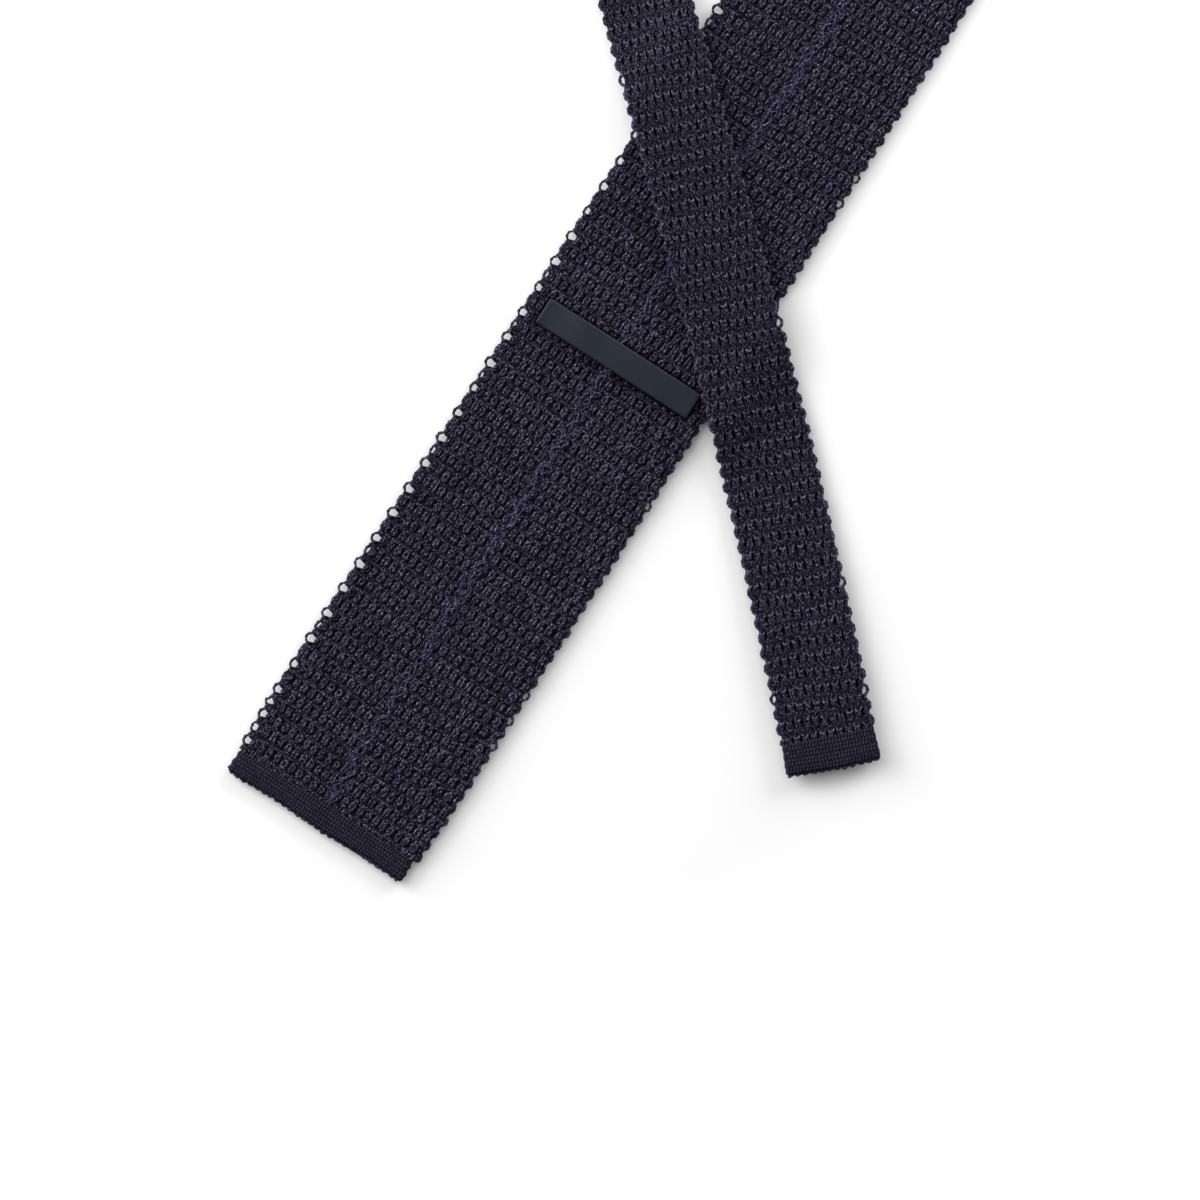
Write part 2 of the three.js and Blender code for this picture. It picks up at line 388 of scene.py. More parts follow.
def linear(colour):
    """A colour given as it looks on screen, from 0 to 255 a channel, as the shader's linear values."""
    return tuple(light_of(level) for level in colour) + (1.0,)


def yarn_sockets(tree):
    """The group's inputs and outputs: the yarn's three colours and its lay in, its colour and surface out."""
    colour_kind, number_kind = "NodeSocketColor", "NodeSocketFloat"
    for names, in_out, kind in ((("PaintedShade", "Yarn", "Glint"), "INPUT", colour_kind),
                                (("Strands", "Twist", "Fuzz"), "INPUT", number_kind),
                                (("Colour",), "OUTPUT", colour_kind),
                                (("Height", "Roughness"), "OUTPUT", number_kind)):
        for name in names:
            tree.interface.new_socket(name, in_out=in_out, socket_type=kind)
    return tree.nodes.new("NodeGroupInput").outputs, tree.nodes.new("NodeGroupOutput").inputs


def yarn_height(tree, across, down, inputs):
    """Strands lie side by side and wander a little, finer ones twist across them, and short dashes of fuzz
    break them up: their heights added. Gives the strands' own height and the whole."""
    fuzzy = inputs["Fuzz"]
    drift = noise_on(tree, tree.nodes.new("ShaderNodeTexCoord").outputs["Object"], 420, 2)
    turn = plus(tree, times(tree, across, inputs["Strands"]), times(tree, times(tree, drift, 2.2), fuzzy))
    strand = strand_wave(tree, turn)
    ply = strand_wave(tree, plus(tree, times(tree, down, inputs["Twist"]), turn))
    fuzz = dashes(tree, across, down, 7.8, 5.0, 1.0)
    speck = times(tree, minus(tree, fuzz, 0.42), 6.0, True)
    plain = minus(tree, 0.85, times(tree, fuzzy, 0.55))
    height = plus(tree, times(tree, strand, plain), times(tree, ply, 0.25))
    return strand, plus(tree, height, times(tree, times(tree, speck, 0.65), fuzzy))


def yarn_colour(tree, across, down, height, inputs):
    """The yarn turns from its painted shade colour to its own where it stands high, in the relief and in the
    strand, so low yarn is painted shade. It takes a painted highlight on the crowns and in single painted
    sparks. The piece's stitch attribute gives the relief, a random tone for each stitch, and the crown."""
    stitch = add_node(tree, "ShaderNodeAttribute", attribute_name="stitch")
    parts = tree.nodes.new("ShaderNodeSeparateColor")
    tree.links.new(stitch.outputs["Color"], parts.inputs[0])
    rise, shade, crown = parts.outputs
    # Painted shade: the lower the yarn stands, the nearer its colour comes to the painted shade colour
    light = times(tree, reckon(tree, "POWER", rise, 1.45), plus(tree, times(tree, shade, 0.7), 0.5))
    light = times(tree, light, times(tree, reckon(tree, "POWER", height, 2.5), 1.66), True)
    colour = blend_colours(tree, light, inputs["PaintedShade"], inputs["Yarn"])
    # Painted highlight: crowns, high yarn and single sparks are lightened towards the glint colour
    shine = plus(tree, crown, times(tree, rise, 0.25))
    glint = times(tree, shine, minus(tree, height, 0.35), True)
    spark = times(tree, minus(tree, dashes(tree, across, down, 9.7, 6.3, 0.0), 0.58), 8.0, True)
    spark = times(tree, times(tree, spark, inputs["Fuzz"]), times(tree, rise, 1.1))
    return blend_colours(tree, plus(tree, glint, spark, True), colour, inputs["Glint"])


def yarn_group():
    """Twisted silk yarn, for every knitted piece, on a UV map that counts stitches across and rows down.
    Gives a colour with painted shade and painted highlights in it, a height for the bump, and a roughness
    that is least on the strands' backs."""
    tree = bpy.data.node_groups.new("twisted_yarn", "ShaderNodeTree")
    inputs, outputs = yarn_sockets(tree)
    across, down = stitch_axes(tree)
    strand, height = yarn_height(tree, across, down, inputs)
    tree.links.new(height, outputs["Height"])
    tree.links.new(yarn_colour(tree, across, down, height, inputs), outputs["Colour"])
    tree.links.new(minus(tree, 0.66, times(tree, strand, 0.16)), outputs["Roughness"])
    return tree


YARN_GROUP = yarn_group()


def principled(name, settings):
    """A material with one Principled BSDF with those inputs; gives the material, its node tree and the
    shader."""
    material = bpy.data.materials.new(name)
    material.use_nodes = True
    shader = material.node_tree.nodes["Principled BSDF"]
    for key, value in settings.items():
        shader.inputs[key].default_value = value
    return material, material.node_tree, shader


def yarn_material(name, painted_shade, yarn, glint, lay, bump):
    """Silk yarn of those three screen colours: a painted shade colour for low yarn, the yarn's own colour,
    and a painted highlight colour for its glints. Its lay is how many strands a stitch has, how tightly they
    twist and how fuzzy they are."""
    material, tree, shader = principled(name, {
        "Sheen Weight": 0.02,
        "Sheen Roughness": 0.4,
        "Sheen Tint": linear((120, 116, 165)),
        "Specular IOR Level": 0.04,
    })
    group = add_node(tree, "ShaderNodeGroup", node_tree=YARN_GROUP)
    values = (linear(painted_shade), linear(yarn), linear(glint)) + lay
    for key, value in zip(("PaintedShade", "Yarn", "Glint", "Strands", "Twist", "Fuzz"), values):
        group.inputs[key].default_value = value
    relief = add_node(tree, "ShaderNodeBump", Strength=1.0, Distance=bump * MM)
    tree.links.new(group.outputs["Height"], relief.inputs["Height"])
    tree.links.new(group.outputs["Colour"], shader.inputs["Base Color"])
    tree.links.new(group.outputs["Roughness"], shader.inputs["Roughness"])
    tree.links.new(relief.outputs["Normal"], shader.inputs["Normal"])
    return material


# Each yarn: its painted shade colour, its own colour, its painted highlight colour, its lay and its bump
# distance
KNIT = yarn_material("knit_yarn", (3, 2, 7), (35, 31, 53), (124, 118, 148), (3.0, 6.0, 1.0), 0.26)
HEM = yarn_material("hem_yarn", (3, 2, 7), (40, 36, 58), (100, 95, 122), (1.0, 1.0, 0.25), 0.15)
SEAM = yarn_material("seam_yarn", (4, 3, 9), (47, 42, 70), (120, 113, 148), (2.0, 5.0, 1.0), 0.24)

# The ribbon's threads in millimetres: the floats along it, and what crosses them
WARP_PITCH = 0.22
WEFT_PITCH = 0.3


def satin_material():
    """Smooth satin ribbon: fine waves of warp and weft, a fine grain, and slow shade changes. Its UV map is
    in millimetres."""
    material, tree, shader = principled("satin_ribbon", {
        "Sheen Weight": 0.03,
        "Sheen Roughness": 0.35,
        "Specular IOR Level": 0.16,
    })
    along, across = stitch_axes(tree)
    place = tree.nodes.new("ShaderNodeTexCoord").outputs["Object"]
    cloud = noise_on(tree, place, 90, 3)
    grain = noise_on(tree, place, 3200, 2)
    warp = reckon(tree, "SINE", times(tree, across, 2 * math.pi / WARP_PITCH))
    weft = reckon(tree, "SINE", times(tree, along, 2 * math.pi / WEFT_PITCH))
    weave = plus(tree, times(tree, warp, 0.3), times(tree, weft, 0.15))
    height = plus(tree, weave, times(tree, grain, 0.5))
    share = plus(tree, times(tree, cloud, 0.7), times(tree, height, 0.25), True)
    colour = blend_colours(tree, share, linear((23, 26, 34)), linear((34, 40, 52)))
    relief = add_node(tree, "ShaderNodeBump", Strength=0.6, Distance=0.03 * MM)
    tree.links.new(height, relief.inputs["Height"])
    tree.links.new(colour, shader.inputs["Base Color"])
    tree.links.new(relief.outputs["Normal"], shader.inputs["Normal"])
    tree.links.new(plus(tree, times(tree, grain, 0.15), 0.42), shader.inputs["Roughness"])
    return material


SATIN = satin_material()


# Shells: closed surfaces as arrays, and the pieces made of them


class Shell:
    """Points with their UV and stitch values, and faces of any number of corners."""

    def __init__(self, points, uv, stitch):
        self.points = np.asarray(points, float).reshape(-1, 3)
        self.uv = np.asarray(uv, float).reshape(-1, 2)
        self.stitch = np.asarray(stitch, float).reshape(-1, 3)
        self.faces = []

    def add(self, faces):
        """Faces as an array with a row for each one, or a single face as a flat array."""
        self.faces.append(np.atleast_2d(np.asarray(faces, np.int64)))

    def flip(self):
        """Turns every face the other way round."""
        self.faces = [faces[:, ::-1] for faces in self.faces]


def is_inside_out(points, faces):
    """True if the closed surface's signed volume, summed over fans of triangles, is negative."""
    centre = points.mean(0)
    total = 0.0
    for rows in faces:
        first = points[rows[:, 0]] - centre
        for k in range(1, rows.shape[1] - 1):
            second = points[rows[:, k]] - centre
            third = points[rows[:, k + 1]] - centre
            total += (first * np.cross(second, third)).sum()
    return total < 0


def make_piece(name, shells, material, node):
    """One mesh object from its shells, with their faces turned outwards, shaded smooth, on the tie's one
    body."""
    points = np.concatenate([s.points for s in shells])
    uv = np.concatenate([s.uv for s in shells])
    stitch = np.concatenate([s.stitch for s in shells])
    starts = np.cumsum([0] + [len(s.points) for s in shells])
    rows = []
    for shell, start in zip(shells, starts):
        if is_inside_out(shell.points, shell.faces):
            shell.flip()
        rows += [faces + start for faces in shell.faces]
    corners = np.concatenate([r.ravel() for r in rows])
    sizes = np.concatenate([np.full(len(r), r.shape[1]) for r in rows])
    mesh = bpy.data.meshes.new(name)
    mesh.vertices.add(len(points))
    mesh.vertices.foreach_set("co", points.astype(np.float32).ravel())
    mesh.loops.add(len(corners))
    mesh.loops.foreach_set("vertex_index", corners.astype(np.int32))
    mesh.polygons.add(len(sizes))
    mesh.polygons.foreach_set("loop_start", np.concatenate([[0], np.cumsum(sizes)[:-1]]).astype(np.int32))
    mesh.polygons.foreach_set("loop_total", sizes.astype(np.int32))
    mesh.update(calc_edges=True)
    mesh.validate()
    mesh.polygons.foreach_set("use_smooth", np.ones(len(mesh.polygons), bool))
    layer = mesh.uv_layers.new(name="strands")
    layer.data.foreach_set("uv", uv[corners].astype(np.float32).ravel())
    attribute = mesh.attributes.new("stitch", "FLOAT_COLOR", "POINT")
    rgba = np.concatenate([stitch, np.ones((len(stitch), 1))], axis=1)
    attribute.data.foreach_set("color", rgba.astype(np.float32).ravel())
    mesh.materials.append(material)
    piece = bpy.data.objects.new(name, mesh)
    bpy.context.scene.collection.objects.link(piece)
    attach(piece, "root")
    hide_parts(node)
    return piece


def carried(points, uv, stitch):
    """Closed rings of points carried along a path, many paths at once: points is paths by places by ring by
    3. Each ring joins the next with four-cornered faces, and the first and last rings are closed flat."""
    paths, places, ring = points.shape[:3]
    shell = Shell(points, uv, stitch)
    index = np.arange(paths * places * ring).reshape(paths, places, ring)
    here, there = index[:, :-1], index[:, 1:]
    sides = np.stack([here, np.roll(here, -1, 2), np.roll(there, -1, 2), there], axis=-1)
    shell.add(sides.reshape(-1, 4))
    shell.add(index[:, 0, ::-1])
    shell.add(index[:, -1])
    return shell


# The knit: each face of the tie is a relief of blocks, slots and bands of small stitches


def scatter(row, column, seed):
    """A fixed random value from 0 to 1 for each stitch, the fraction of a large sine of its row and
    column."""
    mixed = np.sin(row * 127.1 + column * 311.7 + seed * 74.7) * 43758.5453
    return mixed - np.floor(mixed)


def ridge(distance, radius):
    """The round back of a strand: a half circle of that radius over its middle line, as a share."""
    return np.sqrt(np.clip(1 - (distance / radius) ** 2, 0, 1))


def stitch_cell(block, row):
    """Where each point lies in its stitch: across from -0.5 to 0.5 of a block, and its row, column and
    parity. Every second row is shifted by half a block, as bricks are."""
    whole_row = np.floor(row)
    parity = np.mod(whole_row, 2)
    shifted = block + 0.5 * parity
    column = np.floor(shifted)
    return shifted - column - 0.5, row - whole_row, whole_row, column, parity


def front_relief(block, row):
    """The face side: in each row, blocks with a raised crown at their upper end, slots between the blocks,
    and below them a band of slanting stitches. Gives how high the yarn stands and the crown, which the
    material lightens as a painted highlight."""
    x, y, whole_row, column, parity = stitch_cell(block, row)
    lift = scatter(whole_row, column, 1)
    lean = (scatter(whole_row, column, 2) - 0.5) * 0.08
    tilt = (scatter(whole_row, column, 6) - 0.5) * 0.22
    wide = 0.33 + 0.06 * scatter(whole_row, column, 8)
    x = x - lean
    tips = np.exp(-((np.abs(x) - 0.25) / 0.11) ** 2)
    crown_line = 0.14 - 0.85 * x ** 2 + tilt * x
    crown = ridge(y - crown_line, 0.068) * smooth((wide + 0.05 - np.abs(x)) / 0.07)
    crown = crown * (0.54 + 0.26 * lift + 0.34 * tips)
    ribs = 0.60 + 0.12 * np.cos(2 * np.pi * (y - 0.13) / 0.14)
    block_share = smooth((wide + 0.06 - np.abs(x)) / 0.09) * smooth((y - 0.03) / 0.06)
    body = ribs * (0.66 + 0.34 * ridge(x, 0.40)) * block_share
    slant = np.abs(np.mod(2 * x, 1) - 0.5) + 0.95 * y
    band = 0.39 + 0.24 * np.cos(2 * np.pi * 2 * slant) + 0.12 * (lift - 0.5)
    in_band = smooth((y - 0.58 - 0.07 * lift) / 0.09)
    filled = 0.36 * smooth((y - 0.47) / 0.10)
    rise = np.maximum(np.maximum(body, filled) * (1 - in_band), band * in_band)
    above = (0.36 + 0.10 * lift) * smooth((0.06 - y) / 0.05)
    return np.maximum(np.maximum(rise, above), crown), crown


def back_relief(block, row):
    """The inside-out side: a band of small upright strands, then rounded blocks with sunk slots between them.
    Each block has a small sunk eye. In one row two splayed legs run down from it, in the next a bar crosses
    below it. The slots and eyes are sunk and also painted darker as shade, through the low height that the
    material reads."""
    x, y, whole_row, column, parity = stitch_cell(block, row)
    y = 1 - y
    lift = scatter(whole_row, column, 3)
    lean = (scatter(whole_row, column, 4) - 0.5) * 0.10
    drop = (scatter(whole_row, column, 7) - 0.5) * 0.10
    wide = 0.35 + 0.06 * scatter(whole_row, column, 8)
    x = x - lean
    strands = 0.58 + 0.28 * np.cos(2 * np.pi * 3 * x + 5 * lift) * smooth((y - 0.01) / 0.04)
    in_strands = smooth((0.29 + drop - y) / 0.08)
    distance = (np.abs(x) / wide) ** 2.6 + (np.abs(y - 0.62 - 0.5 * drop) / 0.35) ** 2.6
    outline = smooth((1.25 - distance) / 0.50)
    dome = 0.60 + 0.22 * np.sqrt(np.clip(1 - distance, 0, 1))
    eye_y = np.where(parity > 0.5, 0.50, 0.57) + drop
    eye = np.exp(-((x / 0.105) ** 2 + ((y - eye_y) / 0.09) ** 2))
    groove = np.exp(-(x / (0.06 + 0.30 * np.clip(y - 0.62, 0, 1))) ** 2) * smooth((y - 0.62) / 0.06)
    bars = 0.5 - 0.5 * np.cos(2 * np.pi * (y - 0.70) / 0.13)
    lower = np.where(parity > 0.5, 0.45 * groove, 0.25 * bars * smooth((y - 0.66) / 0.05))
    body = np.clip(dome - 0.80 * eye - lower, 0.03, 1) * (0.12 + 0.88 * outline)
    gap = (0.12 + 0.25 * lift) * smooth((y - 0.88) / 0.06)
    rise = np.maximum(np.maximum(strands * in_strands, body * (1 - in_strands)), gap)
    rise = rise * (0.88 + 0.24 * lift)
    # Painted highlight: the highest yarn gets a crown value that the material lightens
    crown = np.clip(rise - 0.60, 0, 1) * 1.2
    return rise, crown


def by_ribbon(along, across, rise):
    """The knit is pressed down under the ribbon, and comes back to its height within a millimetre round it.
    Being low, it also takes the material's painted shade there, a dark line round the ribbon."""
    start, to, half = keeper_span()
    beyond_long_side = np.abs(along - (start + to) / 2) - KEEPER_WIDTH / 2
    beyond = np.maximum(beyond_long_side, np.abs(across - KEEPER_OFFSET) - half)
    return rise * (0.10 + 0.90 * smooth((beyond - 0.35) / 0.45))


def by_seam(across, row, rise, grain):
    """The back beside the seam: the blocks lose their shape there, and to the right of it there is a hole to
    every second row, sunk and painted dark as shade."""
    zone = 0.65 * smooth((2.3 - np.abs(across + 0.3 * np.sin(row * 0.9))) / 0.9)
    tangled = 0.20 + 0.65 * grain * (0.6 + 0.4 * np.sin(row * 9.4 + 3 * np.sin(across * 2.2)))
    rise = rise * (1 - zone) + tangled * zone
    beat = row / 2 - np.round(row / 2)
    hole = np.exp(-(((across - 1.9 - 0.5 * np.sin(row * 1.1)) / 0.75) ** 2 + (beat / 0.10) ** 2))
    return rise * (1 - 0.85 * hole)


# How deep the relief of the stitches is, and how far from the back or front a layer's plain inner face lies
RELIEF_DEPTH = 1.1
INNER_FACE = 1.52


def edge_hole(row, side):
    """The arches along an edge, one to a row and none quite like the next: how near each row is to the middle
    of its arch, from 1 to 0, and how large that arch is. On the wide end's left they are large and small by
    turns, but for its first rows."""
    turn = row + (0.58 if side < 0 else 0.08)
    number = np.round(turn)
    near = 1 - 2 * np.abs(turn - number)
    uneven = scatter(number, side, 21)
    is_large = (np.mod(number, 2) > 0.5) | (row < 5.5) | (row > BLADE_TOP_ROW) | (side > 0)
    size = np.where(is_large, 0.75 + 0.45 * uneven, 0.55 * smooth((uneven - 0.45) / 0.3))
    return near, size


def swell(along, side):
    """How far the outline bulges past the even width. The bulge grows between 240 mm and 110 mm from the wide
    end on its right edge, and between 120 mm and 30 mm on its left edge, where it is less."""
    if side > 0:
        return 0.25 + 0.75 * smooth((240 - along) / 130)
    return 0.10 + 0.50 * smooth((120 - along) / 90)


def edge_retreat(along, row, side):
    """How far the body of the knit stays inside the tie's outline. On the wide end's left each arch has a
    hole behind it. Everywhere else the knit bulges out into the arches, and only the largest ones leave a
    small hole."""
    near, size = edge_hole(row, side)
    is_open = smooth((HOLES_END - along) / 60) * (side < 0)
    knot = np.where(size > 1.17, 0.55, -0.5)
    depth = 1.80 * is_open + knot * (1 - is_open)
    return 0.35 - swell(along, side) + depth * size * smooth((near - 0.48) / 0.24)


def face_points(reach, row, sink, is_back):
    """A point on the face of the tie. reach is the share of the way from the middle to the edge, round the
    fold. The section is flat up to the fold and then a quarter circle; sink lowers it square to the surface.
    Rows wander a little, and on the back they sag towards the seam on the left."""
    along = along_at(row)
    half = half_width(along)
    flat = half - FOLD_RADIUS
    girth = np.abs(reach) * (flat + FOLD_RADIUS * np.pi / 2)
    angle = np.clip((girth - flat) / FOLD_RADIUS, 0, np.pi / 2)
    radius = FOLD_RADIUS - sink
    across = np.minimum(girth, flat) + radius * np.sin(angle)
    near_edge = smooth((girth - flat + 4) / 4.5)
    retreat = np.where(reach < 0, edge_retreat(along, row, -1), edge_retreat(along, row, 1))
    across = np.sign(reach) * (across - retreat * near_edge)
    level = FOLD_RADIUS + radius * np.cos(angle)
    high = level if is_back else THICKNESS - level
    return along + row_shift(reach, row, along, is_back), across, high


def row_shift(reach, row, along, is_back):
    """How far a row lies from its even place: a slow wander, a sag towards the seam on the back's left half,
    and a slant across the narrow end's face with a step over the seam."""
    wander = 0.20 * np.sin(row * 0.83 + 2.1 * reach) + 0.15 * np.sin(row * 1.93 - 5.2 * reach)
    if is_back:
        sag = np.where(reach < 0, -1.0 * smooth((reach + 0.8) / 0.75), 0.3 * smooth((0.5 - reach) / 0.5))
    else:
        slant = 0.40 * reach + 0.28 * np.tanh(reach / 0.08) * (1 - np.abs(reach))
        sag = slant * smooth((along - 1100) / 140)
    return (wander + sag) * smooth((along - TUBE_START) / 5) * smooth((TUBE_END - along) / 5)


# The part of the tie's width that a layer of knit covers
LEFT, RIGHT, WHOLE = "left", "right", "whole"


def reach_lines(blocks, slot, part, per_block):
    """The columns of a layer as shares of the half width: even steps of a block, between its two edges or
    from the seam's slot to one edge."""
    most = blocks.max()
    even = np.arange(1, math.ceil(most * per_block)) / per_block / most
    even = even[even < 1 - 0.3 / per_block / most]
    if part == WHOLE:
        return np.repeat(np.concatenate([[-1], -even[::-1], [0], even, [1]])[None], len(blocks), 0)
    even = even[even > slot.max() + 0.3 / per_block / most]
    columns = [slot[:, None], np.repeat(even[None], len(blocks), 0), np.ones((len(blocks), 1))]
    reach = np.concatenate(columns, axis=1)
    return reach if part == RIGHT else -reach[:, ::-1]


def relief_lines(first_row, last_row, phases):
    """The rows at which a layer has a line of points: its first, its last, and those at the given shares of
    every row between them."""
    lines = (np.arange(math.floor(first_row), math.ceil(last_row))[:, None] + np.array(phases)).ravel()
    lines = lines[(lines > first_row + 0.02) & (lines < last_row - 0.02)]
    return np.concatenate([[first_row], lines, [last_row]])


def stitch_values(is_back, along, girth, reach, row, block):
    """How high the yarn stands at each point, with a grain that differs from point to point. With it come the
    values that the yarn's material reads: that height, from which it paints shade on low yarn, a random tone
    for the stitch, and the crown, which it paints as a highlight."""
    rise, crown = (back_relief if is_back else front_relief)(block, row)
    grain = scatter(np.arange(row.shape[0])[:, None], np.arange(row.shape[1])[None], 9)
    if is_back:
        across = reach * girth
        rise = by_seam(across, row, rise, grain)
        rise = by_ribbon(along + row_shift(reach, row, along, True), across, rise)
    rise = np.clip(rise * (0.76 + 0.48 * grain), 0, 1)
    shade = 0.3 * scatter(np.floor(row), np.floor(block * 2), 5) + 0.7 * grain
    return rise, np.stack([rise, shade, crown], axis=-1)


def knit_layer(is_back, part, first_row, last_row, per_block, phases, inner_steps):
    """One closed layer of knit: the relief on its outer face, round the fold to mid height, and a plain inner
    face between its two edges, in a ring of points for each line of the relief."""
    lines = relief_lines(first_row, last_row, phases)
    along = along_at(lines)
    blocks = np.interp(along, *zip(*BLOCKS))
    girth = half_width(along) + FOLD_EXTRA
    reach = reach_lines(blocks, SLOT_HALF / girth, part, per_block)
    row = np.repeat(lines[:, None], reach.shape[1], 1)
    block = reach * blocks[:, None]
    rise, stitch = stitch_values(is_back, along[:, None], girth[:, None], reach, row, block)
    outer = np.stack(face_points(reach, row, RELIEF_DEPTH * (1 - rise), is_back), axis=-1)
    uv = np.stack([block, row], axis=-1)
    share = np.linspace(1, 0, inner_steps + 2)[None, :, None]
    if part == WHOLE:
        share = share[:, 1:-1]
    inner = outer[:, :1] * (1 - share) + outer[:, -1:] * share
    inner[..., 2] = INNER_FACE if is_back else THICKNESS - INNER_FACE
    inner_uv = uv[:, :1] * (1 - share) + uv[:, -1:] * share
    ring = np.concatenate([outer, inner], axis=1)
    uv = np.concatenate([uv, inner_uv], axis=1)
    stitch = np.concatenate([stitch, np.zeros(inner.shape)], axis=1)
    return carried(placed(ring[..., 0], ring[..., 1], ring[..., 2])[None], uv, stitch)


# Where the lines of the relief lie in each row
FINE_ROWS_FRONT = [0.0, 0.05, 0.11, 0.17, 0.24, 0.32, 0.40, 0.49, 0.59, 0.72, 0.86]
FINE_ROWS_BACK = [0.0, 0.06, 0.14, 0.25, 0.36, 0.46, 0.56, 0.67, 0.78, 0.89]
COARSE_ROWS_FRONT = [0.03, 0.13, 0.33, 0.52, 0.75]
COARSE_ROWS_BACK = [0.04, 0.18, 0.38, 0.56, 0.74, 0.90]
SPARSE_ROWS = [0.05, 0.30, 0.55, 0.80]

# Every layer of knit: its piece, the CAD node it stands for, whether it is the back, its parts, its first and
# last row, how many columns to a block, its lines to a row, and the points across its inner face
LAYERS = [
    ("blade_back_left", "blade", True, [LEFT], FIRST_ROW, SEEN_ROW, 10, FINE_ROWS_BACK, 0),
    ("blade_back_right", "blade", True, [RIGHT], FIRST_ROW, SEEN_ROW, 10, FINE_ROWS_BACK, 0),
    ("blade_back_upper", "blade", True, [LEFT, RIGHT], SEEN_ROW, BLADE_TOP_ROW, 5, COARSE_ROWS_BACK, 0),
    ("blade_front", "blade", False, [WHOLE], FIRST_ROW, BLADE_TOP_ROW, 3, SPARSE_ROWS, 0),
    ("neck_back", "neck_band", True, [LEFT, RIGHT], BLADE_TOP_ROW, NARROW_ROW, 4, SPARSE_ROWS, 0),
    ("neck_back", "neck_band", True, [LEFT, RIGHT], NARROW_ROW, TURN_ROW, 4, SPARSE_ROWS, 4),
    ("neck_back", "neck_band", True, [LEFT, RIGHT], TURN_ROW, NECK_TOP_ROW, 3, SPARSE_ROWS, 4),
    ("neck_front", "neck_band", False, [WHOLE], BLADE_TOP_ROW, NARROW_ROW, 3, SPARSE_ROWS, 0),
    ("neck_front", "neck_band", False, [WHOLE], NARROW_ROW, TURN_ROW, 3, SPARSE_ROWS, 6),
    ("neck_front", "neck_band", False, [WHOLE], TURN_ROW, NECK_TOP_ROW, 4, COARSE_ROWS_FRONT, 6),
    ("tail_front", "tail", False, [WHOLE], NECK_TOP_ROW, LAST_ROW, 11, FINE_ROWS_FRONT, 6),
    ("tail_back", "tail", True, [LEFT, RIGHT], NECK_TOP_ROW, LAST_ROW, 3, SPARSE_ROWS, 4),
]


def make_layers():
    """The pieces of knit, each from its layers in the table."""
    shells = {}
    for name, node, is_back, parts, first, last, per_block, phases, inner_steps in LAYERS:
        made = [knit_layer(is_back, part, first, last, per_block, phases, inner_steps) for part in parts]
        shells.setdefault((name, node), []).extend(made)
    return {name: make_piece(name, made, KNIT, node) for (name, node), made in shells.items()}


LAYER_PIECES = make_layers()


# Round strands of yarn


def tubes(along, across, high, radius, sides):
    """Round strands, each a row of points in the tie's own measures, with a ring of points round each one,
    square to the way that the strand runs. Their UV map is the share of the way round, and the length in
    rows; their sides are painted darker than their tops as shade, and their tops take a faint painted
    highlight."""
    path = placed(along, across, high)
    way = np.gradient(path, axis=1)
    way /= np.linalg.norm(way, axis=2, keepdims=True)
    beside = np.cross(way, np.array([0.02, 0.03, 1.0]))
    beside /= np.linalg.norm(beside, axis=2, keepdims=True)
    above = np.cross(beside, way)
    angle = np.linspace(0, 2 * np.pi, sides, endpoint=False)
    radius = np.broadcast_to(np.asarray(radius, float), path.shape[:2])[:, :, None, None] * MM
    ring = beside[:, :, None] * np.cos(angle)[:, None] + above[:, :, None] * np.sin(angle)[:, None]
    points = path[:, :, None] + radius * ring
    steps = np.linalg.norm(np.diff(path, axis=1, prepend=path[:, :1]), axis=2)
    run = np.cumsum(steps, axis=1) / (ROW_PITCH * MM)
    uv = np.stack(np.broadcast_arrays(np.arange(sides) / sides, run[:, :, None]), axis=-1)
    # Painted shade on the sides and a faint painted highlight on top, by how far each point faces up
    facing = 0.60 + 0.40 * np.sin(angle)
    stitch = np.stack(np.broadcast_arrays(facing, 0.5, 0.15 * facing ** 3 + 0 * run[:, :, None]), axis=-1)
    return carried(points, uv, stitch)


def edge_strands(first_row, last_row, side, per_row, sides, twisted):
    """The yarn along an edge: it arches out round each hole and comes back to the knit between them, one
    strand or two that twist round each other."""
    row = np.linspace(first_row + 0.05, last_row - 0.05, int((last_row - first_row) * per_row) + 1)
    along = along_at(row)
    near, size = edge_hole(row, side)
    arch = 0.95 * smooth((near - 0.1) / 0.7) * np.maximum(size, 0.5) - 0.2
    shells = []
    for strand in range(2 if twisted else 1):
        turn = 2 * np.pi * row * 1.7 + strand * np.pi + 0.8 * np.sin(row * 1.3)
        across = half_width(along) + swell(along, side) - 0.95 + arch + 0.20 * np.sin(turn) * twisted
        high = FOLD_RADIUS + (0.22 * np.cos(turn) if twisted else 0 * row)
        radius = (0.30 if twisted else 0.45) + 0.05 * np.sin(row * 2.9 + strand) + 0.10 * (along > NECK_END)
        shells.append(tubes(along[None], side * across[None], high[None], radius[None], sides))
    return shells


def make_edges(name, node, first, last, per_row, sides, twisted):
    """The strands along both edges between two rows, as one piece."""
    shells = [shell for side in (-1, 1) for shell in edge_strands(first, last, side, per_row, sides, twisted)]
    return make_piece(name, shells, KNIT, node)


blade_edges = make_edges("blade_edges", "blade", FIRST_ROW, SEEN_ROW, 12, 5, True)
blade_edges_upper = make_edges("blade_edges_upper", "blade", SEEN_ROW, BLADE_TOP_ROW, 4, 5, False)
neck_edges = make_edges("neck_edges", "neck_band", BLADE_TOP_ROW, NECK_TOP_ROW, 4, 5, False)
tail_edges = make_edges("tail_edges", "tail", NECK_TOP_ROW, LAST_ROW, 12, 5, True)


# The linked seam's strands: how far each one swings, its turns to a row, its lag and its thickness
SEAM_STRANDS = [
    (1.30, 0.50, 0.0, 0.36),
    (1.15, 0.50, np.pi, 0.34),
    (0.70, 1.00, 1.3, 0.30),
    (1.60, 0.27, 2.4, 0.32),
    (1.50, 0.36, 4.9, 0.30),
]


